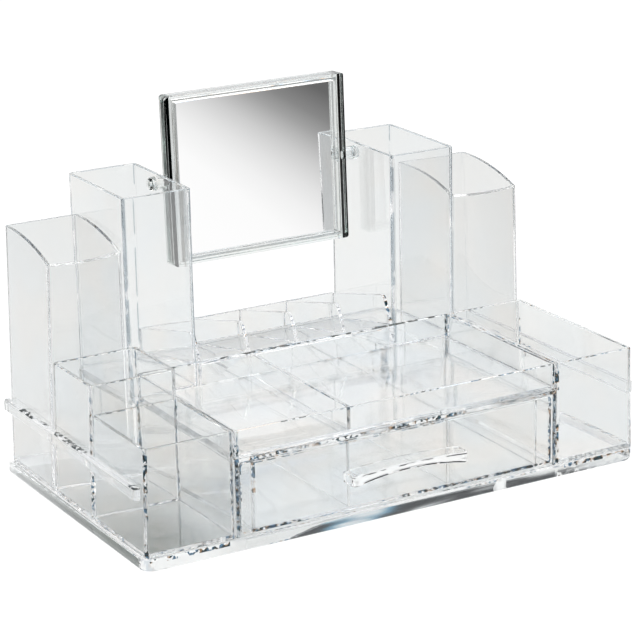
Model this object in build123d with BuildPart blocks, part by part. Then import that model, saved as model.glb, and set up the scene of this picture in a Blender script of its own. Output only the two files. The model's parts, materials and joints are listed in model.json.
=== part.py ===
from build123d import *
import math
import os

os.makedirs("parts", exist_ok=True)

# A clear makeup organizer: bins, tower cups, a tray and a rack around a drawer, with a mirror that turns.
# Millimetres, Z up. X is the width and +Y the back. The origin is under the middle of the whole object.

# Plan of the bins and cups, measured from the front face
body_width = 320.0
column_depth = 178.1
centre_step = 11.4
tower_setback = 116.6
front_bin_depth = 65.7
bin_width = 54.8
curved_cup_width = 49.4
tall_cup_width = 43.8
front_bow = 2.0

# Heights above the table
base_height = 7.6
deck_height = 53.4
low_rim = 69.7
rear_bin_rim = 86.1
curved_front_rim = 140.7
curved_back_rim = 151.5
curved_rim_radius = 144.0
curved_rim_stock = 6.0
tall_rim = 173.5

# Moulded walls
wall = 2.2
outer_corner = 2.6
rim_bevel = 0.4
outer_lean = 1.36
side_gap = 0.3
seat_gap = 0.2

# Base skirt
skirt_reach = 1.5
skirt_corner = 8.0
skirt_back_corner = 5.0
skirt_round = 2.0

# Grip rails on both sides
rail_reach = 3.4
rail_height = 7.0
rail_low_edge = 40.0
rail_front_inset = 5.0
rail_round = 1.6
rail_end_bevel = 1.2

# Compact rack
fin_rise = 16.5
fin_rake = 26.0
fin_nose = 4.0
rack_slots = 4
rack_back_rise = 1.5

# Drawer
front_thickness = 2.4
front_side_clearance = 1.0
front_end_clearance = 0.5
front_low_clearance = 1.5
front_corner = 3.0
drawer_inset = 9.1
drawer_wall = 2.0
drawer_top_clearance = 2.4
drawer_low_clearance = 0.3
drawer_back_clearance = 1.6
divider_thickness = 1.8
divider_clearance = 0.2

# Drawer handle
handle_length = 75.5
handle_reach = 11.5
handle_end_height = 6.2
handle_low_edge = 26.8
handle_top_rise = 1.8
handle_arch_rise = 3.8
handle_foot = 4.0
handle_shell = 2.0
handle_corner = 3.0

# Mirror
pivot_drop = 7.0
pivot_from_back = 27.0
mirror_lean = 2.0
frame_side_gap = 6.3
frame_height = 101.5
frame_depth = 11.0
frame_corner = 3.0
post_round = 3.0
frame_side_border = 6.8
frame_top_border = 4.2
glass_recess = 4.2
glass_thickness = 2.0
glass_ledge = 2.0
glass_clearance = 0.2
back_thickness = 2.0
back_rim_width = 3.0

# Mirror pivots
pin_radius = 2.5
pin_grip = 2.6
pin_clearance = 0.08
pin_fit = 0.02
boss_radius = 4.2
boss_root = 1.0
head_radius = 4.2
head_thickness = 2.4
head_bevel = 1.4
end_play = 0.3

# Places that follow from the sizes above
half_width = body_width / 2
centre_depth = column_depth + centre_step
overall_depth = handle_reach + centre_depth + skirt_reach
front_y = handle_reach - overall_depth / 2
column_back_y = front_y + column_depth
back_y = front_y + centre_depth
tower_y = front_y + tower_setback
bins_back_y = tower_y - side_gap
curved_inner_x = -half_width + curved_cup_width
tall_outer_x = curved_inner_x + side_gap
tall_inner_x = tall_outer_x + tall_cup_width
bin_inner_x = -half_width + bin_width
centre_x = bin_inner_x + side_gap
stand_z = base_height + seat_gap
deck_stand_z = deck_height + seat_gap
lean_slope = math.tan(math.radians(outer_lean))
rack_left_x = tall_inner_x + side_gap
rack_pitch = (-2 * rack_left_x - wall) / rack_slots


def upright_edges(piece):
    """Edges that run nearly straight up, such as the corners of a bin."""
    return piece.edges().filter_by(lambda edge: abs(edge.tangent_at(0.5).Z) > 0.95)


def bevel_rim(piece):
    """Take the sharp edges off the rim."""
    chamfer(piece.faces().sort_by(Axis.Z)[-1].edges(), length=rim_bevel)


def column_profile(low_z, rim_z, inner_edge_x, inset):
    """Front view of a side moulding whose outer wall leans inwards on the way up."""
    with BuildLine() as outline:
        low_x = -half_width + lean_slope * (low_z - stand_z) + inset
        rim_x = -half_width + lean_slope * (rim_z - stand_z) + inset
        inner_x = inner_edge_x - inset
        Polyline((low_x, low_z), (inner_x, low_z), (inner_x, rim_z), (rim_x, rim_z), close=True)
    return outline.line


def left_bin(y_front, y_back, rim_z):
    """A straight bin of the left column, open at the top."""
    with BuildPart() as moulding:
        with BuildSketch(Plane.XZ.offset(-y_back)):
            make_face(column_profile(stand_z, rim_z, bin_inner_x, 0))
        extrude(amount=y_back - y_front)
        fillet(upright_edges(moulding), radius=outer_corner)
        with BuildSketch(Plane.XZ.offset(-(y_back - wall))):
            make_face(column_profile(stand_z + wall, rim_z, bin_inner_x, wall))
        extrude(amount=y_back - y_front - 2 * wall, mode=Mode.SUBTRACT)
        bevel_rim(moulding)
    return moulding.part


def upright_box(x_middle, y_front, width, depth, low_z, rim_z, thickness):
    """A straight-sided tub, open at the top."""
    with BuildPart() as tub:
        with BuildSketch(Plane.XY.offset(low_z)):
            with Locations((x_middle, y_front + depth / 2)):
                RectangleRounded(width, depth, outer_corner)
        extrude(amount=rim_z - low_z)
        with BuildSketch(Plane.XY.offset(low_z + thickness)):
            with Locations((x_middle, y_front + depth / 2)):
                Rectangle(width - 2 * thickness, depth - 2 * thickness)
        extrude(amount=rim_z - low_z - thickness, mode=Mode.SUBTRACT)
        bevel_rim(tub)
    return tub.part


def mirrored(piece):
    """The same moulding for the other side of the organizer."""
    with BuildPart() as twin:
        mirror(piece, about=Plane.YZ)
    return twin.part


def keep(piece, name):
    """Name a finished piece and write its file."""
    piece.label = name
    export_step(piece, f"parts/{name}.step")


# Straight bins
keep(left_bin(front_y, front_y + front_bin_depth, low_rim), "left_front_bin")
keep(left_bin(front_y + front_bin_depth + side_gap, bins_back_y, rear_bin_rim), "left_rear_bin")
keep(mirrored(left_bin(front_y, bins_back_y, low_rim)), "right_bin")

# Curved tower cup: a bowed front, a leaning outer wall, and a rim that arches down to the front
def bowed_column(low_z, inset):
    """A column with the bowed front and the leaning wall: the cup's outside, or with an inset its pocket."""
    outer_x = -half_width + inset
    inner_x = curved_inner_x - inset
    corner_y = tower_y + front_bow + inset
    stock_z = curved_back_rim + curved_rim_stock
    with BuildPart() as column:
        with BuildSketch(Plane.XY.offset(low_z)):
            with BuildLine():
                bow_middle = ((outer_x + inner_x) / 2, tower_y + inset)
                ThreePointArc((outer_x, corner_y), bow_middle, (inner_x, corner_y))
                Polyline(
                    (inner_x, corner_y),
                    (inner_x, column_back_y - inset),
                    (outer_x, column_back_y - inset),
                    (outer_x, corner_y),
                )
            make_face()
        extrude(amount=stock_z - low_z)
        with BuildSketch(Plane.XZ.offset(-column_back_y)):
            make_face(column_profile(low_z, stock_z, curved_inner_x, inset))
        extrude(amount=column_back_y - tower_y, mode=Mode.INTERSECT)
    return column.part


with BuildPart() as left_curved_cup:
    add(bowed_column(stand_z, 0))
    fillet(upright_edges(left_curved_cup), radius=outer_corner)
    add(bowed_column(stand_z + wall, wall), mode=Mode.SUBTRACT)
    with BuildSketch(Plane.YZ.offset(-half_width)):
        with BuildLine():
            RadiusArc((column_back_y, curved_back_rim), (tower_y, curved_front_rim), -curved_rim_radius)
            Polyline(
                (tower_y, curved_front_rim),
                (tower_y, stand_z),
                (column_back_y, stand_z),
                (column_back_y, curved_back_rim),
            )
        make_face()
    extrude(amount=curved_cup_width, mode=Mode.INTERSECT)
keep(left_curved_cup.part, "left_curved_cup")
keep(mirrored(left_curved_cup.part), "right_curved_cup")

# Tall tower cup, with the hole that the mirror's pivot pin turns in
pivot_y = back_y - pivot_from_back
pivot_z = tall_rim - pivot_drop
with BuildPart() as left_tall_cup:
    cup_middle_x = (tall_outer_x + tall_inner_x) / 2
    add(upright_box(cup_middle_x, tower_y, tall_cup_width, back_y - tower_y, deck_stand_z, tall_rim, wall))
    with BuildSketch(Plane.YZ.offset(tall_inner_x)):
        with Locations((pivot_y, pivot_z)):
            Circle(pin_radius + pin_clearance)
    extrude(amount=-wall, mode=Mode.SUBTRACT)
keep(left_tall_cup.part, "left_tall_cup")
keep(mirrored(left_tall_cup.part), "right_tall_cup")

# Base plate: the floor of the whole organizer with a rounded skirt round it, open underneath
with BuildPart() as base_plate:
    with BuildSketch() as base_outline:
        with Locations((0, front_y)):
            Rectangle(body_width, column_depth, align=(Align.CENTER, Align.MIN))
            Rectangle(-2 * tall_outer_x, centre_depth, align=(Align.CENTER, Align.MIN))
        offset(amount=skirt_reach, kind=Kind.INTERSECTION)
        fillet(base_outline.vertices().group_by(Axis.Y)[0], radius=skirt_corner)
        fillet(base_outline.vertices().group_by(Axis.Y)[-1], radius=skirt_back_corner)
    extrude(amount=base_height)
    fillet(base_plate.faces().sort_by(Axis.Z)[0].edges(), radius=skirt_round)
    with BuildSketch():
        with Locations((0, front_y + wall)):
            Rectangle(body_width - 2 * wall, column_depth - 2 * wall, align=(Align.CENTER, Align.MIN))
            Rectangle(-2 * (tall_outer_x + wall), centre_depth - 2 * wall, align=(Align.CENTER, Align.MIN))
    extrude(amount=base_height - wall, mode=Mode.SUBTRACT)
keep(base_plate.part, "base_plate")

# Drawer housing: side walls, back and deck in one, wider behind the bins, open below and in front
with BuildPart() as drawer_housing:
    with BuildSketch(Plane.XY.offset(stand_z)):
        with Locations((0, front_y)):
            Rectangle(-2 * centre_x, centre_depth, align=(Align.CENTER, Align.MIN))
        with Locations((0, tower_y)):
            Rectangle(-2 * tall_outer_x, back_y - tower_y, align=(Align.CENTER, Align.MIN))
    extrude(amount=deck_height - stand_z)
    open_below = drawer_housing.faces().sort_by(Axis.Z)[0]
    open_in_front = drawer_housing.faces().sort_by(Axis.Y)[0]
    offset(amount=-wall, openings=[open_below, open_in_front], kind=Kind.INTERSECTION)
keep(drawer_housing.part, "drawer_housing")

# Tray on the deck, its rim level with the low bins
centre_tray = upright_box(0, front_y, -2 * centre_x, bins_back_y - front_y, deck_stand_z, low_rim, wall)
keep(centre_tray, "centre_tray")

# Partition across the tray, in line with the first free fin of the rack
with BuildPart() as tray_partition:
    with BuildSketch(Plane.XY.offset(deck_stand_z + wall + seat_gap)):
        with Locations((-rack_pitch, (front_y + bins_back_y) / 2)):
            Rectangle(wall, bins_back_y - front_y - 2 * (wall + divider_clearance))
    extrude(amount=low_rim - deck_stand_z - wall - seat_gap)
    chamfer(tray_partition.faces().sort_by(Axis.Z)[-1].edges(), length=rim_bevel)
keep(tray_partition.part, "tray_partition")

# Compact rack: a sloping floor between a riser and a back wall, hollow below, with raked fins
rack_back_inner_y = back_y - wall
rack_low_z = deck_stand_z + wall
rack_slope = (low_rim - rack_low_z) / (rack_back_inner_y - tower_y)
floor_drop = wall * math.hypot(1.0, rack_slope)
cavity_back_y = tower_y + (low_rim - floor_drop - deck_stand_z) / rack_slope
fin_back_rise = low_rim + rack_back_rise - rack_low_z
rack_length = -2 * rack_left_x
with BuildPart() as compact_rack:
    with BuildSketch(Plane.YZ.offset(rack_left_x)):
        with BuildLine():
            Polyline(
                (tower_y, deck_stand_z),
                (tower_y, low_rim),
                (rack_back_inner_y, rack_low_z),
                (rack_back_inner_y, low_rim + rack_back_rise),
                (back_y, low_rim + rack_back_rise),
                (back_y, deck_stand_z),
                close=True,
            )
        make_face()
    extrude(amount=rack_length)
    with BuildSketch(Plane.YZ.offset(rack_left_x + wall)):
        with BuildLine():
            Polyline(
                (tower_y + wall, deck_stand_z),
                (tower_y + wall, low_rim - floor_drop - rack_slope * wall),
                (cavity_back_y, deck_stand_z),
                close=True,
            )
        make_face()
    extrude(amount=rack_length - 2 * wall, mode=Mode.SUBTRACT)
    for slot in range(rack_slots + 1):
        with BuildSketch(Plane.YZ.offset(rack_left_x + slot * rack_pitch)) as fin:
            with BuildLine():
                nose_y = tower_y + fin_rise * math.tan(math.radians(fin_rake))
                Polyline(
                    (tower_y, low_rim - wall),
                    (tower_y, low_rim),
                    (nose_y, low_rim + fin_rise),
                    (rack_back_inner_y, rack_low_z + fin_back_rise),
                    (rack_back_inner_y, rack_low_z - wall / 2),
                    close=True,
                )
            make_face()
            fillet(fin.vertices().sort_by(Axis.Y)[-1], radius=fin_nose)
        extrude(amount=wall)
keep(compact_rack.part, "compact_rack")

# Grip rail along a side column
rail_low_x = -half_width + lean_slope * (rail_low_edge - stand_z) - seat_gap
rail_high_x = rail_low_x + lean_slope * rail_height
rail_outer_x = -half_width - rail_reach
with BuildPart() as left_side_rail:
    with BuildSketch(Plane.XZ.offset(-column_back_y)):
        with BuildLine():
            Polyline(
                (rail_low_x, rail_low_edge),
                (rail_outer_x, rail_low_edge),
                (rail_outer_x, rail_low_edge + rail_height),
                (rail_high_x, rail_low_edge + rail_height),
                close=True,
            )
        make_face()
    extrude(amount=column_depth - rail_front_inset)
    rail_ends = upright_edges(left_side_rail).group_by(Axis.X)[0]
    chamfer(rail_ends, length=rail_end_bevel)
    fillet(left_side_rail.faces().sort_by(Axis.X)[0].edges().filter_by(Axis.Y), radius=rail_round)
keep(left_side_rail.part, "left_side_rail")
keep(mirrored(left_side_rail.part), "right_side_rail")

# Drawer front: a plate that fills the opening of the housing
opening_high_z = deck_height - wall
opening_half = -(centre_x + wall)
front_low_z = base_height + front_low_clearance
front_high_z = opening_high_z - front_end_clearance
front_half = opening_half - front_side_clearance
with BuildPart() as drawer_front:
    with BuildSketch(Plane.XZ.offset(-(front_y + front_thickness))):
        with Locations((0, (front_low_z + front_high_z) / 2)):
            RectangleRounded(2 * front_half, front_high_z - front_low_z, front_corner)
    extrude(amount=front_thickness)
    chamfer(drawer_front.faces().sort_by(Axis.Y)[0].edges(), length=rim_bevel)
keep(drawer_front.part, "drawer_front")

# Drawer box behind its front
box_half = opening_half - drawer_inset
box_front_y = front_y + front_thickness + seat_gap
box_back_y = back_y - wall - drawer_back_clearance
box_low_z = base_height + drawer_low_clearance
box_high_z = opening_high_z - drawer_top_clearance
box_depth = box_back_y - box_front_y
drawer_box = upright_box(0, box_front_y, 2 * box_half, box_depth, box_low_z, box_high_z, drawer_wall)
keep(drawer_box, "drawer_box")

# Two loose dividers in the drawer, in line with the rack's fins
divider_depth = box_depth - 2 * (drawer_wall + divider_clearance)
for side, name in ((-1, "drawer_divider_left"), (1, "drawer_divider_right")):
    with BuildPart() as divider:
        with BuildSketch(Plane.XY.offset(box_low_z + drawer_wall + seat_gap)):
            with Locations((side * rack_pitch, (box_front_y + box_back_y) / 2)):
                Rectangle(divider_thickness, divider_depth)
        extrude(amount=box_high_z - box_low_z - drawer_wall - seat_gap)
        chamfer(divider.faces().sort_by(Axis.Z)[-1].edges(), length=rim_bevel)
    keep(divider.part, name)

# Handle: an arched bar that stands out from the drawer front, hollow behind for the fingers
handle_half = handle_length / 2
handle_top_z = handle_low_edge + handle_end_height
recess_half = handle_half - handle_foot
with BuildPart() as drawer_handle:
    with BuildSketch(Plane.XZ.offset(-(front_y - seat_gap))):
        with BuildLine():
            crown = (0, handle_top_z + handle_top_rise)
            ThreePointArc((-handle_half, handle_top_z), crown, (handle_half, handle_top_z))
            Line((handle_half, handle_top_z), (handle_half, handle_low_edge))
            Line((handle_half, handle_low_edge), (recess_half, handle_low_edge))
            arch = (0, handle_low_edge + handle_arch_rise)
            ThreePointArc((recess_half, handle_low_edge), arch, (-recess_half, handle_low_edge))
            Line((-recess_half, handle_low_edge), (-handle_half, handle_low_edge))
            Line((-handle_half, handle_low_edge), (-handle_half, handle_top_z))
        make_face()
    extrude(amount=handle_reach - seat_gap)
    fillet(upright_edges(drawer_handle).group_by(Axis.Y)[0], radius=handle_corner)
    with BuildSketch(Plane.XZ.offset(-(front_y - seat_gap))):
        with BuildLine():
            recess_top_z = handle_top_z - handle_shell
            recess_crown = (0, recess_top_z + handle_top_rise)
            ThreePointArc((-recess_half, recess_top_z), recess_crown, (recess_half, recess_top_z))
            Polyline(
                (recess_half, recess_top_z),
                (recess_half, handle_low_edge - handle_shell),
                (-recess_half, handle_low_edge - handle_shell),
                (-recess_half, recess_top_z),
            )
        make_face()
    extrude(amount=handle_reach - seat_gap - handle_shell, mode=Mode.SUBTRACT)
keep(drawer_handle.part, "drawer_handle")

# Mirror frame with rounded posts, leaning back a little, with bosses that reach towards the tall cups
lean = math.radians(mirror_lean)
mirror_facing = (0, -math.cos(lean), math.sin(lean))
mirror_plane = Plane(origin=(0, pivot_y, pivot_z), x_dir=(1, 0, 0), z_dir=mirror_facing)
post_plane = Plane(origin=(0, pivot_y, pivot_z), x_dir=(1, 0, 0), z_dir=mirror_plane.y_dir)
frame_half = -tall_inner_x - frame_side_gap
window_width = 2 * (frame_half - frame_side_border)
window_height = frame_height - 2 * frame_top_border
pocket_width = window_width + 2 * glass_ledge
pocket_height = window_height + 2 * glass_ledge
frame_back_plane = mirror_plane.offset(-frame_depth / 2)
pocket_depth = frame_depth - glass_recess
boss_end_x = -tall_inner_x - end_play
bore_end_x = frame_half - pin_grip
with BuildPart() as mirror_frame:
    with BuildSketch(frame_back_plane):
        RectangleRounded(2 * frame_half, frame_height, frame_corner)
    extrude(amount=frame_depth)
    with BuildSketch(post_plane):
        RectangleRounded(2 * frame_half, frame_depth, post_round)
    extrude(amount=frame_height / 2, both=True, mode=Mode.INTERSECT)
    with BuildSketch(frame_back_plane):
        Rectangle(window_width, window_height)
    extrude(amount=frame_depth, mode=Mode.SUBTRACT)
    with BuildSketch(frame_back_plane):
        Rectangle(pocket_width, pocket_height)
    extrude(amount=pocket_depth, mode=Mode.SUBTRACT)
    for side in (-1, 1):
        with BuildSketch(Plane.YZ.offset(side * (frame_half - boss_root))):
            with Locations((pivot_y, pivot_z)):
                Circle(boss_radius)
        extrude(amount=side * (boss_end_x - frame_half + boss_root))
        with BuildSketch(Plane.YZ.offset(side * bore_end_x)):
            with Locations((pivot_y, pivot_z)):
                Circle(pin_radius + pin_fit)
        extrude(amount=side * (boss_end_x - bore_end_x), mode=Mode.SUBTRACT)
keep(mirror_frame.part, "mirror_frame")

# Silvered glass against the frame's ledge
glass_plane = mirror_plane.offset(frame_depth / 2 - glass_recess - glass_thickness)
with BuildPart() as mirror_glass:
    with BuildSketch(glass_plane):
        Rectangle(pocket_width - 2 * glass_clearance, pocket_height - 2 * glass_clearance)
    extrude(amount=glass_thickness - glass_clearance / 2)
keep(mirror_glass.part, "mirror_glass")

# Back cover: a plate level with the frame's back and a rim that holds the glass forward
cover_depth = pocket_depth - glass_thickness - glass_clearance
with BuildPart() as mirror_back:
    with BuildSketch(frame_back_plane):
        Rectangle(pocket_width - 2 * glass_clearance, pocket_height - 2 * glass_clearance)
    extrude(amount=cover_depth)
    with BuildSketch(frame_back_plane.offset(back_thickness)):
        Rectangle(pocket_width - 2 * back_rim_width, pocket_height - 2 * back_rim_width)
    extrude(amount=cover_depth - back_thickness, mode=Mode.SUBTRACT)
keep(mirror_back.part, "mirror_back")

# Pivot pins: a bevelled head inside the cup and a shank through its wall into the frame's boss
head_x = -tall_inner_x + wall + end_play
pin_end_x = bore_end_x + end_play
with BuildPart() as right_pivot_pin:
    with BuildSketch(Plane.YZ.offset(head_x)):
        with Locations((pivot_y, pivot_z)):
            Circle(head_radius)
    extrude(amount=head_thickness)
    chamfer(right_pivot_pin.faces().sort_by(Axis.X)[-1].edges(), length=head_bevel)
    with BuildSketch(Plane.YZ.offset(pin_end_x)):
        with Locations((pivot_y, pivot_z)):
            Circle(pin_radius)
    extrude(amount=head_x - pin_end_x)
keep(right_pivot_pin.part, "right_pivot_pin")
keep(mirrored(right_pivot_pin.part), "left_pivot_pin")
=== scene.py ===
import json
import math

import bpy
from mathutils import Matrix, Vector


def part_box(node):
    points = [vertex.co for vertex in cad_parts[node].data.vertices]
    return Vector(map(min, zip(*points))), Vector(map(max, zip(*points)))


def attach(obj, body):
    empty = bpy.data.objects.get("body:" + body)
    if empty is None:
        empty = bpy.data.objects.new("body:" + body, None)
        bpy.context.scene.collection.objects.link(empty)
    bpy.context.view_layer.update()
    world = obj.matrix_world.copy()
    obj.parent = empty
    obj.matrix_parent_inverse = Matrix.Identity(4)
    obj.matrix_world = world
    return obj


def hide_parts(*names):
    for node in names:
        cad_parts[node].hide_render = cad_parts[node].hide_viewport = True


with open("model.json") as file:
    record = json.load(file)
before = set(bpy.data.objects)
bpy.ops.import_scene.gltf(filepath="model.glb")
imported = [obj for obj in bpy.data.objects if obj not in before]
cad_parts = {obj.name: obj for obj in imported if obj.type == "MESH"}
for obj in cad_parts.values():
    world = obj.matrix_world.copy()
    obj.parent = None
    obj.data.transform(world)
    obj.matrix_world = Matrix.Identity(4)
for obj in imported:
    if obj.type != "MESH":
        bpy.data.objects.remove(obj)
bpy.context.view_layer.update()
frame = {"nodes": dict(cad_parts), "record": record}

# A clear makeup organizer on a pale floor. Metres, Z up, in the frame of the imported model.
scene = bpy.context.scene
nodes = frame["nodes"]

BLACK = (0.0, 0.0, 0.0, 1.0)
WHITE = (1.0, 1.0, 1.0, 1.0)
EVEN = (1.0, 1.0, 1.0)

# Camera: its place and turn were fitted to the rims and corners in the photograph, angles in degrees
PICTURE_SIZE = 640
FOCAL_PIXELS = 2592.6
SENSOR_WIDTH = 36.0
CAMERA_TARGET = Vector((0.00627, 0.01025, 0.08663))
CAMERA_DISTANCE = 1.5195
CAMERA_AZIMUTH = -29.53
CAMERA_ELEVATION = 17.50
CAMERA_ROLL = -1.18
CAMERA_REACH = 50.0

# Clear plastic: its surfaces are tinted in soft patches, and a path inside it is greyed by its depth
CLEAR_IOR = 1.56
CLEAR_BOUNCES = 96
NEUTRAL_TINT = (0.990, 0.994, 0.994, 1.0)
WARM_TINT = (1.0, 0.992, 0.984, 1.0)
COOL_TINT = (0.984, 0.991, 0.996, 1.0)
WALL_TINTS = ((0.40, COOL_TINT), (0.5, NEUTRAL_TINT), (0.60, WARM_TINT))
CUP_TINTS = (
    (0.40, (0.936, 0.943, 0.947, 1.0)), (0.5, (0.941, 0.945, 0.945, 1.0)),
    (0.60, (0.950, 0.943, 0.936, 1.0)),
)
BODY_DEPTH_TINT = (0.68, 0.71, 0.71, 1.0)
BODY_DENSITY = 3.0
FRAME_DEPTH_TINT = (0.50, 0.62, 0.58, 1.0)
FRAME_DENSITY = 16.0
SHADOW_TINT = (0.985, 0.986, 0.986, 1.0)
PATCH_SCALE = 24.0
WAVE_SCALE = 18.0
WAVE_STRENGTH = 0.02
WAVE_HEIGHT = 0.01
POLISH_SCALE = 9.0
POLISH_DETAIL = 3.0
POLISH_ROUGHNESS = 0.04
# White of the painted highlights on the handle and the skirt
HIGHLIGHT_WHITE = (0.92, 0.93, 0.93, 1.0)
# Near black of the painted shade lines on the posts, the handle, the tray's rim and the rail
SHADE_BLACK = (0.0003, 0.0008, 0.0008, 1.0)

# Facing the front: how far a surface at least turns towards it, where -1 is squarely
SQUARE_FRONT = -0.9
HANDLE_FRONT = -0.5
SKIRT_FRONT = -0.3
POST_FRONT = -0.25

# Corners: where a surface faces no axis more squarely than the slant; painted glints and grey lines of
# painted shade go there. A pair for marks, here and below, is their fineness and the level of noise that
# they rise above
CORNER_SLANT = 0.95
BOWED_SLANT = 0.74
SPARKLESS_SLANT = 0.60
SPARKS = (420.0, 0.50)
SPARK_AREAS = (34.0, 0.50)
SPARK_TINT_SCALE = 190.0
SPARK_TINTS = (
    (0.0, (0.02, 0.05, 0.10, 1.0)), (0.42, (0.01, 0.05, 0.12, 1.0)),
    (0.47, (0.0, 0.002, 0.004, 1.0)), (0.56, BLACK), (0.60, (0.35, 0.12, 0.03, 1.0)),
    (0.64, (1.0, 0.97, 0.92, 1.0)),
)
SOFT_LINES = (60.0, 0.42)
SOFT_LINE_DETAIL = 2.0
CORNER_SHADE_GREY = (0.42, 0.48, 0.52, 1.0)

# Mirror: the lines of painted shade in its posts, from the outside of the frame inwards, and its glass
FRAME_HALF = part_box("mirror_glass")[1].x + 0.005
POST_GRAIN_SCALE = 420.0
POST_GRAIN_STRETCH = (1.0, 1.0, 0.03)
CORNER_LINE = (0.0006, 0.0021)
CORNER_LINE_LEVEL = 0.30
INNER_LINE = (0.0047, 0.0058)
INNER_LINE_LEVEL = 0.48
INNER_LINE_SHADE = (0.30, 0.27, 0.24, 1.0)
SILVER = (0.985, 0.985, 0.985, 1.0)
BACKING_PAINT = (0.035, 0.045, 0.042, 1.0)
BACKING_ROUGHNESS = 0.35

# Handle: two bowed lines of painted shade, with their lower and upper heights at the middle, and a front
# painted white as a highlight
HANDLE_GRAIN_SCALE = 120.0
HANDLE_GRAIN_STRETCH = (1.0, 1.0, 4.0)
HANDLE_LOW_BOW = 3.1
HANDLE_LOW_LINE = (0.0309, 0.0315)
HANDLE_LOW_LEVEL = 0.44
HANDLE_HIGH_BOW = 1.27
HANDLE_HIGH_LINE = (0.0335, 0.0341)
HANDLE_HIGH_LEVEL = 0.54
HANDLE_HIGHLIGHT_SHARE = 0.45

# Skirt of the base: long streaks of painted shade under the drawer, with a break, and a part to their left
# painted white as a highlight
SKIRT_GRAIN_SCALE = 9.0
SKIRT_GRAIN_STRETCH = (1.0, 1.0, 14.0)
SKIRT_DETAIL = 2.0
SKIRT_SHADE_TINTS = (
    (0.0, (0.95, 0.97, 0.98, 1.0)), (0.42, (0.90, 0.94, 0.97, 1.0)), (0.46, (0.20, 0.38, 0.52, 1.0)),
    (0.50, (0.08, 0.09, 0.10, 1.0)), (0.60, (0.06, 0.065, 0.07, 1.0)), (0.66, (0.80, 0.82, 0.84, 1.0)),
)
SKIRT_STREAK_TOP = 0.0060
SKIRT_STREAK_FALL = 0.016
SKIRT_STREAK_SPAN = (-0.080, 0.150)
SKIRT_STREAK_SLOPE = 6.0
SKIRT_WANDER_SCALE = 60.0
SKIRT_WANDER = 0.02
SKIRT_BREAK = (0.064, 0.071)
SKIRT_BREAK_HIGHLIGHT = 0.7
SKIRT_END_MARKS = (140.0, 0.50)
SKIRT_SIDE_FACING = 0.3
SKIRT_SIDE_BAND = (0.0012, 0.0042)
SKIRT_SIDE_PATCHES = (7.0, 0.45)
SKIRT_SIDE_SHADE = (0.60, 0.61, 0.61, 1.0)
SKIRT_HIGHLIGHT_SHARE = 0.60
HIGHLIGHT_RISE = 22.0
TOE_SPAN = (0.110, 0.158)
TOE_BAND = (0.0052, 0.0078)
TOE_MARKS = (300.0, 0.50)

# Painted glints and lines of painted shade on the edges of the other pieces, and where those edges are
MARK_AREAS = (31.0, 0.50)
TRAY_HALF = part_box("centre_tray")[1].x
TRAY_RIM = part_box("centre_tray")[1].z - 0.0005
TRAY_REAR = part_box("centre_tray")[1].y - 0.0024
TRAY_MARKS = (150.0, 0.50)
WALL_END = (TRAY_HALF - 0.0025, TRAY_HALF + 0.0026)
WALL_END_SHADE = (0.62, 0.66, 0.68, 1.0)
WALL_END_MARKS = (420.0, 0.50)
DECK_EDGE = (0.0508, 0.0533)
DECK_MARKS = (380.0, 0.52)
PARTITION_MARKS = (420.0, 0.50)
DRAWER_EDGE = 0.1004
DRAWER_EDGE_MARKS = (520.0, 0.46)
DRAWER_FOOT = 0.0106
DRAWER_FOOT_MARKS = (420.0, 0.48)
RAIL_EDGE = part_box("left_side_rail")[1].z - 0.0006
RAIL_MARKS = (420.0, 0.50)
RIGHT_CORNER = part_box("right_bin")[1].x - 0.0012
RIGHT_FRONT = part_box("right_bin")[0].y + 0.0012
RIGHT_MARKS = (260.0, 0.50)

# Rounded edges of the mouldings
WELD = 0.000005
FLAT_ANGLE = math.radians(0.6)
SHARP_ANGLE = math.radians(80.0)
CURVE_ANGLE = math.radians(14.0)
EDGE_ROUND = 0.00035
EDGE_STEPS = 3

# Studio: the sky's ramp runs with height, and that of the fringes with noise
SKY_FADE = (
    (0.0, WHITE), (0.46, (0.98, 0.99, 1.0, 1.0)), (0.53, (0.16, 0.19, 0.24, 1.0)),
    (0.70, (0.05, 0.06, 0.08, 1.0)), (0.74, WHITE), (1.0, WHITE),
)
OVERHEAD_HEIGHT = 0.5
OVERHEAD_GAIN = 1.6
AHEAD_LIMIT = 0.1
PIPED_DEPTH = 2.5
FRINGE_SCALE = 5.0
FRINGES = (
    (0.0, WHITE), (0.40, WHITE), (0.43, (0.45, 0.68, 0.95, 1.0)), (0.455, (0.03, 0.06, 0.10, 1.0)),
    (0.50, (0.02, 0.02, 0.02, 1.0)), (0.52, (0.75, 0.42, 0.18, 1.0)), (0.55, (1.0, 0.98, 0.95, 1.0)),
)
SIGHT_STRENGTH = 1.1
LIGHT_STRENGTH = 1.08

# Floor, as it is seen through the plastic. Dusk in front and haze behind are for rays that turned
# inside it, night and glow for those piped along a wall. They run with the distance from the
# middle, and the shade under the low bins with that from its own place
FLOOR_SIZE = 40.0
FLOOR_WHITE = (0.94, 0.94, 0.94, 1.0)
FLOOR_SEEN_THROUGH = (0.712, 0.722, 0.719, 1.0)
FLOOR_DUSK = (
    (0.0, FLOOR_SEEN_THROUGH), (0.22, (0.68, 0.70, 0.70, 1.0)), (0.32, (0.50, 0.52, 0.52, 1.0)),
    (0.46, (0.42, 0.43, 0.43, 1.0)), (1.0, (0.36, 0.37, 0.37, 1.0)),
)
FLOOR_HAZE = ((0.0, FLOOR_SEEN_THROUGH), (0.35, (0.70, 0.71, 0.71, 1.0)), (1.0, (0.58, 0.59, 0.59, 1.0)))
FLOOR_NIGHT = (
    (0.0, FLOOR_SEEN_THROUGH), (0.16, (0.68, 0.70, 0.70, 1.0)), (0.24, (0.30, 0.33, 0.36, 1.0)),
    (0.34, (0.03, 0.035, 0.04, 1.0)), (1.0, (0.02, 0.022, 0.025, 1.0)),
)
FLOOR_GLOW = (0.98, 0.98, 0.98, 1.0)
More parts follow.
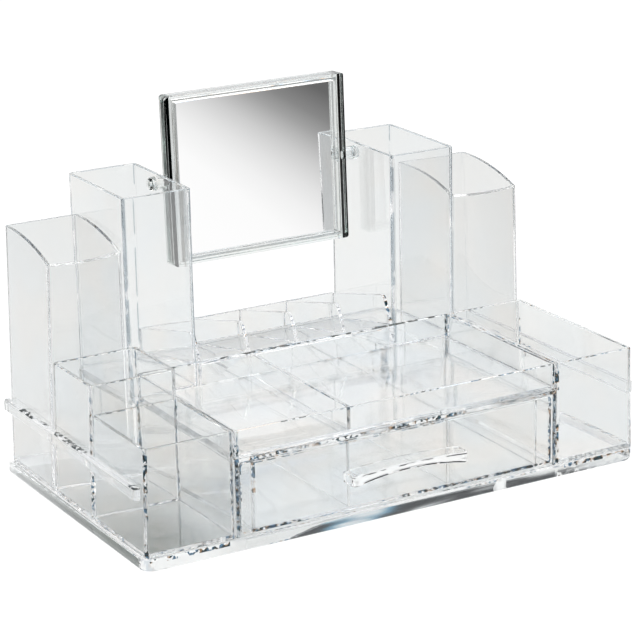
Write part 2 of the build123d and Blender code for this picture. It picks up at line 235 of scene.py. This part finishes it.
BEHIND_STEEPNESS = 2.0
BEHIND_MIDDLE = 0.5
BEHIND_FADE = ((0.42, BLACK), (0.62, WHITE))
BACKDROP_FAR = (0.765, 0.775, 0.771, 1.0)
FAR_FADE = ((0.08, BLACK), (0.20, WHITE))
BIN_SHADE_PLACE = (-0.140, -0.054, 0.0)
BIN_SHADE_STRETCH = (1.0, 0.38, 1.0)
BIN_SHADE = ((0.0, (0.06, 0.08, 0.07, 1.0)), (0.012, (0.09, 0.11, 0.10, 1.0)), (0.065, FLOOR_SEEN_THROUGH))
BIN_SHADE_FADE = ((0.02, WHITE), (0.06, BLACK))
BIN_DUSK = (0.16, 0.18, 0.17, 1.0)
SURROUND_TAPER = 0.26
SURROUND_LEVELS = (
    (0.12, 1.0), (0.18, 0.98), (0.22, 0.89), (0.25, 0.78), (0.285, 0.62), (0.33, 0.37), (0.36, 0.25),
    (0.41, 0.14), (0.60, 0.08),
)


class Socket:
    """A shader value that can be used in sums and products."""

    def __init__(self, board, socket):
        self.board = board
        self.socket = socket

    def math(self, operation, first, second):
        return self.board.node("ShaderNodeMath", {"operation": operation}, {0: first, 1: second})

    def __add__(self, other):
        return self.math("ADD", self, other)

    def __sub__(self, other):
        return self.math("SUBTRACT", self, other)

    def __mul__(self, other):
        return self.math("MULTIPLY", self, other)

    def __radd__(self, other):
        return self.math("ADD", other, self)

    def __rsub__(self, other):
        return self.math("SUBTRACT", other, self)

    def __rmul__(self, other):
        return self.math("MULTIPLY", other, self)

    def size(self):
        return self.math("ABSOLUTE", self, 0.0)

    def larger(self, other):
        return self.math("MAXIMUM", self, other)

    def above(self, level):
        return self.math("GREATER_THAN", self, level)

    def below(self, level):
        return self.math("LESS_THAN", self, level)


class Board:
    """The node tree of one material or world, cleared and ready to fill."""

    def __init__(self, owner):
        owner.use_nodes = True
        self.tree = owner.node_tree
        self.tree.nodes.clear()

    def node(self, kind, settings=None, inputs=None, output=0):
        """A node of any kind: its settings first, then the values or links of its sockets."""
        made = self.tree.nodes.new(kind)
        for name, value in (settings or {}).items():
            if name == "ramp":
                ramp = made.color_ramp
                while len(ramp.elements) < len(value):
                    ramp.elements.new(0.5)
                for stop, (place, colour) in zip(ramp.elements, value):
                    stop.position = place
                    stop.color = colour
            else:
                setattr(made, name, value)
        for name, value in (inputs or {}).items():
            if isinstance(value, Socket):
                self.tree.links.new(value.socket, made.inputs[name])
            else:
                made.inputs[name].default_value = value
        return Socket(self, made.outputs[output])

    def place(self):
        """Where the surface is, in the piece's own metres."""
        return self.node("ShaderNodeTexCoord", output="Object")

    def part(self, vector, letter):
        """One coordinate of any vector."""
        return self.node("ShaderNodeSeparateXYZ", inputs={"Vector": vector}, output=letter)

    def length(self, vector):
        return self.node("ShaderNodeVectorMath", {"operation": "LENGTH"}, {0: vector}, output="Value")

    def axis(self, letter):
        """One coordinate of where the surface is."""
        return self.part(self.place(), letter)

    def facing(self, letter):
        """How the surface faces along one axis of the piece, from -1 to 1."""
        return self.part(self.node("ShaderNodeTexCoord", output="Normal"), letter)

    def front(self, level):
        """Where the surface faces the front at least as squarely as the level."""
        return self.facing("Y").below(level)

    def corners(self, slant):
        """Where the surface faces none of the three axes more squarely than the slant."""
        across, ahead, up = (self.facing(letter).size() for letter in "XYZ")
        return across.larger(ahead).larger(up).below(slant)

    def noise(self, scale, detail=1.0, stretch=EVEN):
        """Soft noise from 0 to 1, fixed to the piece."""
        spot = self.node("ShaderNodeMapping", inputs={"Vector": self.place(), "Scale": stretch})
        return self.node(
            "ShaderNodeTexNoise", inputs={"Vector": spot, "Scale": scale, "Detail": detail}, output="Fac"
        )

    def marks(self, grain, detail=1.0):
        """Small marks where the noise rises above a level."""
        fineness, level = grain
        return self.noise(fineness, detail).above(level)

    def window(self, value, low, high):
        return value.above(low) * value.below(high)

    def ramp(self, factor, stops):
        return self.node("ShaderNodeValToRGB", {"ramp": stops}, {"Fac": factor}, output="Color")

    def blend(self, factor, first, second, way="MIX"):
        settings = {"data_type": "RGBA", "blend_type": way}
        return self.node("ShaderNodeMix", settings, {0: factor, 6: first, 7: second}, output=2)

    def ray(self, kind):
        return self.node("ShaderNodeLightPath", output=kind)

    def mix(self, factor, first, second):
        return self.node("ShaderNodeMixShader", inputs={0: factor, 1: first, 2: second})

    def finish(self, kind, shaders):
        out = self.tree.nodes.new(kind)
        for name, shader in shaders.items():
            self.tree.links.new(shader.socket, out.inputs[name])


def clear_plastic(name, slant=CORNER_SLANT, lines=None, tints=WALL_TINTS,
                  depth_tint=BODY_DEPTH_TINT, density=BODY_DENSITY):
    """Polished clear moulding: almost no colour through a wall, grey along it, and soft ripples.

    A function for its painted lines of shade, glints and highlights takes the board and the tint. It
    returns the tint with them, and the cover that hides the plastic, as its share and colour, or None.
    """
    material = bpy.data.materials.new(name)
    board = Board(material)
    waves = {"Strength": WAVE_STRENGTH, "Distance": WAVE_HEIGHT, "Height": board.noise(WAVE_SCALE)}
    bump = board.node("ShaderNodeBump", inputs=waves, output="Normal")
    # Painted glints at the corners of every clear piece
    sparks = board.corners(slant) * board.marks(SPARK_AREAS) * board.marks(SPARKS)
    tint = sparkle(board, sparks, board.ramp(board.noise(PATCH_SCALE), tints))
    tint, cover = lines(board, tint) if lines else (tint, None)
    plastic = board.node(
        "ShaderNodeBsdfPrincipled",
        inputs={
            "Base Color": tint,
            "Roughness": board.noise(POLISH_SCALE, POLISH_DETAIL) * POLISH_ROUGHNESS,
            "IOR": CLEAR_IOR,
            "Transmission Weight": 1.0,
            "Normal": bump,
        },
    )
    if cover:
        share, colour = cover
        matt = board.node(
            "ShaderNodeBsdfPrincipled",
            inputs={"Base Color": colour, "Roughness": 1.0, "Specular IOR Level": 0.0},
        )
        plastic = board.mix(share, plastic, matt)
    shade = board.node("ShaderNodeBsdfTransparent", inputs={"Color": SHADOW_TINT})
    unseen = board.ray("Is Shadow Ray") + board.ray("Is Diffuse Ray")
    inside = board.node("ShaderNodeVolumeAbsorption", inputs={"Color": depth_tint, "Density": density})
    surface = board.mix(unseen, plastic, shade)
    board.finish("ShaderNodeOutputMaterial", {"Surface": surface, "Volume": inside})
    return material


def sparkle(board, marks, tint):
    """Painted glints: marks in the dark, blue and amber tones that the edges of clear plastic throw."""
    return board.blend(marks, tint, board.ramp(board.noise(SPARK_TINT_SCALE), SPARK_TINTS))


def gathered(board, where, grain):
    """Marks within a region of the surface, gathered in some places."""
    return where * board.marks(grain) * board.marks(MARK_AREAS)


def corner_shade_lines(board, tint, slant):
    """Painted shade: soft grey-blue lines along the rounded corners and the rim of a cup."""
    lines = board.corners(slant) * board.marks(SOFT_LINES, SOFT_LINE_DETAIL)
    return board.blend(lines, tint, CORNER_SHADE_GREY), None


def tall_cup_corner_shade(board, tint):
    """The whole of each rounding."""
    return corner_shade_lines(board, tint, CORNER_SLANT)


def curved_cup_corner_shade(board, tint):
    """Only the steep middle of each rounding, since the bowed front itself is slanting."""
    return corner_shade_lines(board, tint, BOWED_SLANT)


def post_shade_lines(board, tint):
    """Painted shade: the dark upright lines that a rounded post gathers from its surroundings."""
    inward = FRAME_HALF - board.axis("X").size()
    grain = board.noise(POST_GRAIN_SCALE, stretch=POST_GRAIN_STRETCH)
    ahead = board.front(POST_FRONT)
    inner = board.window(inward, *INNER_LINE) * ahead * grain.above(INNER_LINE_LEVEL)
    corner = board.window(inward, *CORNER_LINE) * ahead * grain.above(CORNER_LINE_LEVEL)
    return board.blend(inner, tint, INNER_LINE_SHADE), (corner, SHADE_BLACK)


def handle_shade_and_highlight(board, tint):
    """Painted shade: dark curved lines along the handle's arch and under its crown, on a front painted
    white as a highlight.
    """
    height = board.axis("Z")
    bow = board.axis("X") * board.axis("X")
    ahead = board.front(HANDLE_FRONT)
    grain = board.noise(HANDLE_GRAIN_SCALE, stretch=HANDLE_GRAIN_STRETCH)
    low_arch = board.window(height + bow * HANDLE_LOW_BOW, *HANDLE_LOW_LINE)
    high_arch = board.window(height + bow * HANDLE_HIGH_BOW, *HANDLE_HIGH_LINE)
    arches = (low_arch * grain.above(HANDLE_LOW_LEVEL)).larger(high_arch * grain.above(HANDLE_HIGH_LEVEL))
    lines = ahead * arches
    return tint, (lines.larger(ahead * HANDLE_HIGHLIGHT_SHARE), board.blend(lines, HIGHLIGHT_WHITE, SHADE_BLACK))


def skirt_shade_and_highlight(board, tint):
    """Painted shade and highlight on the skirt: long grey and blue streaks low on it under the drawer, a
    grey band on its sides, glints at both front ends, and a front painted white to the left of the
    streaks."""
    grain = board.noise(SKIRT_GRAIN_SCALE, SKIRT_DETAIL, SKIRT_GRAIN_STRETCH)
    along, height = board.axis("X"), board.axis("Z")
    ahead = board.front(SKIRT_FRONT)
    low = (height + along * SKIRT_STREAK_FALL).below(SKIRT_STREAK_TOP)
    wander = (board.noise(SKIRT_WANDER_SCALE, SKIRT_DETAIL) - 0.5) * SKIRT_WANDER
    under_drawer = board.window(along - height * SKIRT_STREAK_SLOPE + wander, *SKIRT_STREAK_SPAN)
    unbroken = board.window(along + wander, *SKIRT_BREAK).below(0.5)
    thinned = along.below(TRAY_HALF).larger(board.marks(SKIRT_END_MARKS))
    where = ahead * low * under_drawer * unbroken * thinned
    streaked = board.blend(where, tint, board.ramp(grain, SKIRT_SHADE_TINTS))
    sideways = board.facing("X").size().above(SKIRT_SIDE_FACING) * board.window(height, *SKIRT_SIDE_BAND)
    sided = board.blend(sideways * board.marks(SKIRT_SIDE_PATCHES), streaked, SKIRT_SIDE_SHADE)
    toe_band = board.window(along.size(), *TOE_SPAN) * board.window(height, *TOE_BAND) * ahead
    toe = toe_band * board.marks(TOE_MARKS)
    left_rise = board.ramp((SKIRT_STREAK_SPAN[0] - along) * HIGHLIGHT_RISE, ((0.0, BLACK), (1.0, WHITE)))
    painted_highlight = ahead * SKIRT_HIGHLIGHT_SHARE * (left_rise + (1.0 - unbroken) * SKIRT_BREAK_HIGHLIGHT) * (1.0 - toe)
    return sparkle(board, toe, sided), (painted_highlight, HIGHLIGHT_WHITE)


def wall_end_shade_and_glints(board, tint):
    """Wall ends painted grey as shade, with painted dark and coloured glints, at the front on both sides
    of the drawer.
    """
    ends = board.window(board.axis("X").size(), *WALL_END) * board.front(SQUARE_FRONT)
    greyed = board.blend(ends, tint, WALL_END_SHADE)
    return sparkle(board, ends * board.marks(WALL_END_MARKS), greyed), None


def housing_shade_and_glints(board, tint):
    """Wall ends with painted shade and glints, and painted glints along the front edge of the deck."""
    shaded_and_glinted, cover = wall_end_shade_and_glints(board, tint)
    edge = board.window(board.axis("Z"), *DECK_EDGE) * board.front(SQUARE_FRONT)
    return sparkle(board, gathered(board, edge, DECK_MARKS), shaded_and_glinted), cover


def tray_shade_and_glints(board, tint):
    """Wall ends with painted shade and glints, and a broken line of painted shade along the rear rim of
    the tray.
    """
    shaded_and_glinted, cover = wall_end_shade_and_glints(board, tint)
    rim = board.axis("Z").above(TRAY_RIM) * board.axis("Y").above(TRAY_REAR)
    return board.blend(rim * board.marks(TRAY_MARKS), shaded_and_glinted, SHADE_BLACK), cover


def partition_glints(board, tint):
    """Painted glints down the partition's front end."""
    return sparkle(board, board.front(SQUARE_FRONT) * board.marks(PARTITION_MARKS), tint), None


def drawer_edge_glints(board, tint):
    """Painted glints along the right and lower edges of the drawer's front plate."""
    beside = board.axis("X").above(DRAWER_EDGE) * board.marks(DRAWER_EDGE_MARKS)
    under = gathered(board, board.axis("Z").below(DRAWER_FOOT), DRAWER_FOOT_MARKS)
    return sparkle(board, beside.larger(under), tint), None


def rail_shade_marks(board, tint):
    """Dark marks of painted shade along the upper edge of a grip strip."""
    flecks = gathered(board, board.axis("Z").above(RAIL_EDGE), RAIL_MARKS)
    return board.blend(flecks, tint, SHADE_BLACK), None


def right_corner_glints(board, tint):
    """Painted glints down the outer front corner of the long low bin."""
    corner = board.axis("X").above(RIGHT_CORNER) * board.axis("Y").below(RIGHT_FRONT)
    return sparkle(board, corner * board.marks(RIGHT_MARKS), tint), None


def silver_mirror(name):
    """Silvered glass: a bright mirror in front, dark backing paint on the edges and behind."""
    material = bpy.data.materials.new(name)
    board = Board(material)
    silver = board.node(
        "ShaderNodeBsdfPrincipled", inputs={"Base Color": SILVER, "Metallic": 1.0, "Roughness": 0.0}
    )
    backing = board.node(
        "ShaderNodeBsdfPrincipled", inputs={"Base Color": BACKING_PAINT, "Roughness": BACKING_ROUGHNESS}
    )
    surface = board.mix(board.front(SQUARE_FRONT), backing, silver)
    board.finish("ShaderNodeOutputMaterial", {"Surface": surface})
    return material


def dress(piece, material):
    """Gives a piece one material in place of any it has."""
    piece.data.materials.clear()
    piece.data.materials.append(material)


def round_off(name, body, material):
    """A moulding like its CAD node, with every sharp edge rounded a little, as the mould leaves it."""
    bpy.ops.object.select_all(action="DESELECT")
    piece = nodes[name].copy()
    piece.data = nodes[name].data.copy()
    piece.name = name + "_moulding"
    piece.parent = None
    scene.collection.objects.link(piece)
    piece.select_set(True)
    bpy.context.view_layer.objects.active = piece
    bpy.ops.object.mode_set(mode="EDIT")
    bpy.ops.mesh.select_all(action="SELECT")
    bpy.ops.mesh.remove_doubles(threshold=WELD)
    bpy.ops.mesh.dissolve_limited(angle_limit=FLAT_ANGLE)
    bpy.ops.mesh.vert_connect_concave()
    bpy.ops.object.mode_set(mode="OBJECT")
    rounding = piece.modifiers.new("rounding", "BEVEL")
    rounding.width = EDGE_ROUND
    rounding.segments = EDGE_STEPS
    rounding.limit_method = "ANGLE"
    rounding.angle_limit = SHARP_ANGLE
    rounding.use_clamp_overlap = False
    rounding.loop_slide = False
    bpy.ops.object.modifier_apply(modifier=rounding.name)
    bpy.ops.mesh.customdata_custom_splitnormals_clear()
    bpy.ops.object.shade_smooth_by_angle(angle=CURVE_ANGLE)
    dress(piece, material)
    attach(piece, body)
    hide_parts(name)


# Finishes: one for each slot, and those of the pieces that gather painted lines or marks of light and
# shade of their own
slot_finishes = {
    "clear_body": clear_plastic("clear_body"),
    "clear_drawer": clear_plastic("clear_drawer"),
    "clear_mirror_frame": clear_plastic(
        "clear_frame", SPARKLESS_SLANT, post_shade_lines, depth_tint=FRAME_DEPTH_TINT, density=FRAME_DENSITY
    ),
}
curved_cup = clear_plastic("clear_cup", SPARKLESS_SLANT, curved_cup_corner_shade, CUP_TINTS)
tall_cup = clear_plastic("clear_tall_cup", SPARKLESS_SLANT, tall_cup_corner_shade)
piece_finishes = {
    "left_curved_cup": curved_cup,
    "right_curved_cup": curved_cup,
    "left_tall_cup": tall_cup,
    "right_tall_cup": tall_cup,
    "base_plate": clear_plastic("clear_base", lines=skirt_shade_and_highlight),
    "drawer_housing": clear_plastic("clear_housing", lines=housing_shade_and_glints),
    "centre_tray": clear_plastic("clear_tray", lines=tray_shade_and_glints),
    "left_front_bin": clear_plastic("clear_left_bin", lines=wall_end_shade_and_glints),
    "right_bin": clear_plastic("clear_right_bin", lines=right_corner_glints),
    "left_side_rail": clear_plastic("clear_rail", SPARKLESS_SLANT, rail_shade_marks),
    "tray_partition": clear_plastic("clear_partition", lines=partition_glints),
    "drawer_front": clear_plastic("clear_drawer_front", lines=drawer_edge_glints),
    "drawer_handle": clear_plastic("clear_handle", lines=handle_shade_and_highlight),
    "mirror_glass": silver_mirror("mirror_silver"),
}

# The base's foot is round in the CAD model, and the glass is cut square: both keep their CAD shape
CAD_SHAPED = ("base_plate", "mirror_glass")
slots = {row["node"]: row["material_slot"] for row in frame["record"]["subparts"]}
for body, names in frame["record"]["behaviour"]["bodies"].items():
    for name in names:
        finish = piece_finishes.get(name) or slot_finishes[slots[name]]
        if name in CAD_SHAPED:
            dress(nodes[name], finish)
        else:
            round_off(name, body, finish)


def floor_material():
    """White where it is seen, the pale grey of the backdrop through the plastic, and with a dark
    surround that only reflections meet."""
    material = bpy.data.materials.new("pale_floor")
    board = Board(material)
    white = board.node("ShaderNodeBsdfDiffuse", inputs={"Color": FLOOR_WHITE})
    reach = board.axis("X").size() - SURROUND_TAPER * board.axis("Y").size()
    surround = board.ramp(reach, [(place, (level, level, level, 1.0)) for place, level in SURROUND_LEVELS])
    mirrored = board.node("ShaderNodeEmission", inputs={"Color": surround, "Strength": 1.0})
    seen = board.mix(board.ray("Is Glossy Ray"), white, mirrored)

    from_bins = board.node(
        "ShaderNodeVectorMath", {"operation": "SUBTRACT"}, {0: board.place(), 1: BIN_SHADE_PLACE}
    )
    spot = board.length(
        board.node("ShaderNodeVectorMath", {"operation": "MULTIPLY"}, {0: from_bins, 1: BIN_SHADE_STRETCH})
    )
    far = board.ramp(board.axis("Y"), FAR_FADE)
    backdrop = board.blend(far, board.ramp(spot, BIN_SHADE), BACKDROP_FAR)

    away = board.length(board.place())
    behind = board.ramp(board.axis("Y") * BEHIND_STEEPNESS + BEHIND_MIDDLE, BEHIND_FADE)
    dusk = board.blend(behind, board.ramp(away, FLOOR_DUSK), board.ramp(away, FLOOR_HAZE))
    night = board.blend(behind, board.ramp(away, FLOOR_NIGHT), FLOOR_GLOW)
    piped = board.ray("Glossy Depth").above(PIPED_DEPTH)
    shaded = board.ramp(spot, BIN_SHADE_FADE)
    dim = board.blend(shaded, board.blend(piped, dusk, night), BIN_DUSK)

    straight = board.node("ShaderNodeBsdfDiffuse", inputs={"Color": backdrop})
    turned = board.node("ShaderNodeBsdfDiffuse", inputs={"Color": dim})
    passed = board.mix(board.ray("Glossy Depth").above(0.5), straight, turned)
    surface = board.mix(board.ray("Is Transmission Ray"), seen, passed)
    board.finish("ShaderNodeOutputMaterial", {"Surface": surface})
    return material


def studio():
    """White for sight and even for light. Gloss meets a dark band at mid height, and what looks
    through the plastic meets coloured fringes overhead or after being piped along a wall."""
    world = bpy.data.worlds.new("studio")
    scene.world = world
    board = Board(world)
    direction = board.node("ShaderNodeTexCoord", output="Generated")
    height = board.part(direction, "Z")
    overhead = height.above(OVERHEAD_HEIGHT)
    ahead = board.part(direction, "Y").below(AHEAD_LIMIT)
    piped = board.ray("Glossy Depth").above(PIPED_DEPTH)
    spots = {"Vector": direction, "Scale": FRINGE_SCALE, "Detail": 1.0}
    fringes = board.ramp(board.node("ShaderNodeTexNoise", inputs=spots, output="Fac"), FRINGES)
    sky = board.ramp(height, SKY_FADE)
    fringed = board.blend(overhead.larger(piped * ahead), sky, fringes, "MULTIPLY")
    gain = 1.0 + overhead * OVERHEAD_GAIN
    sight = board.node("ShaderNodeBackground", inputs={"Color": WHITE, "Strength": SIGHT_STRENGTH})
    light = board.node("ShaderNodeBackground", inputs={"Color": WHITE, "Strength": LIGHT_STRENGTH})
    reflected = board.node("ShaderNodeBackground", inputs={"Color": sky, "Strength": gain})
    refracted = board.node("ShaderNodeBackground", inputs={"Color": fringed, "Strength": gain})
    other = board.mix(board.ray("Is Glossy Ray"), light, reflected)
    through = board.mix(board.ray("Is Transmission Ray"), other, refracted)
    shown = board.mix(board.ray("Is Camera Ray"), through, sight)
    board.finish("ShaderNodeOutputWorld", {"Surface": shown})


def soft_lamp(name, place, aim, width, height, power):
    """A rectangular lamp that looks from its place to its aim."""
    lamp = bpy.data.lights.new(name, "AREA")
    lamp.shape = "RECTANGLE"
    lamp.size = width
    lamp.size_y = height
    lamp.energy = power
    holder = bpy.data.objects.new(name, lamp)
    scene.collection.objects.link(holder)
    holder.location = place
    holder.rotation_euler = (Vector(aim) - Vector(place)).to_track_quat("-Z", "Y").to_euler()


def add_camera():
    """The photograph's viewing angle, with its slight roll."""
    lens = bpy.data.cameras.new("camera")
    lens.sensor_width = SENSOR_WIDTH
    lens.lens = FOCAL_PIXELS * SENSOR_WIDTH / PICTURE_SIZE
    lens.clip_end = CAMERA_REACH
    camera = bpy.data.objects.new("camera", lens)
    scene.collection.objects.link(camera)
    azimuth, elevation = math.radians(CAMERA_AZIMUTH), math.radians(CAMERA_ELEVATION)
    back = Vector((
        math.sin(azimuth) * math.cos(elevation),
        -math.cos(azimuth) * math.cos(elevation),
        math.sin(elevation),
    ))
    camera.location = CAMERA_TARGET + back * CAMERA_DISTANCE
    level = back.to_track_quat("Z", "Y")
    roll = Matrix.Rotation(math.radians(CAMERA_ROLL), 4, "Z").to_quaternion()
    camera.rotation_euler = (level @ roll).to_euler()
    scene.camera = camera


bpy.ops.mesh.primitive_plane_add(size=FLOOR_SIZE, location=(0, 0, 0))
floor = bpy.context.object
floor.name = "floor"
floor.data.materials.append(floor_material())

studio()
soft_lamp("overhead_softbox", place=(0.1, -0.1, 1.6), aim=(0, 0, 0), width=0.6, height=0.45, power=3.0)
soft_lamp("left_softbox", place=(-1.4, -0.9, 1.0), aim=(0, 0, 0.08), width=0.3, height=0.8, power=3.0)
add_camera()

scene.view_settings.view_transform = "Standard"
scene.cycles.max_bounces = CLEAR_BOUNCES
scene.cycles.transmission_bounces = CLEAR_BOUNCES
scene.cycles.glossy_bounces = CLEAR_BOUNCES
scene.cycles.transparent_max_bounces = CLEAR_BOUNCES
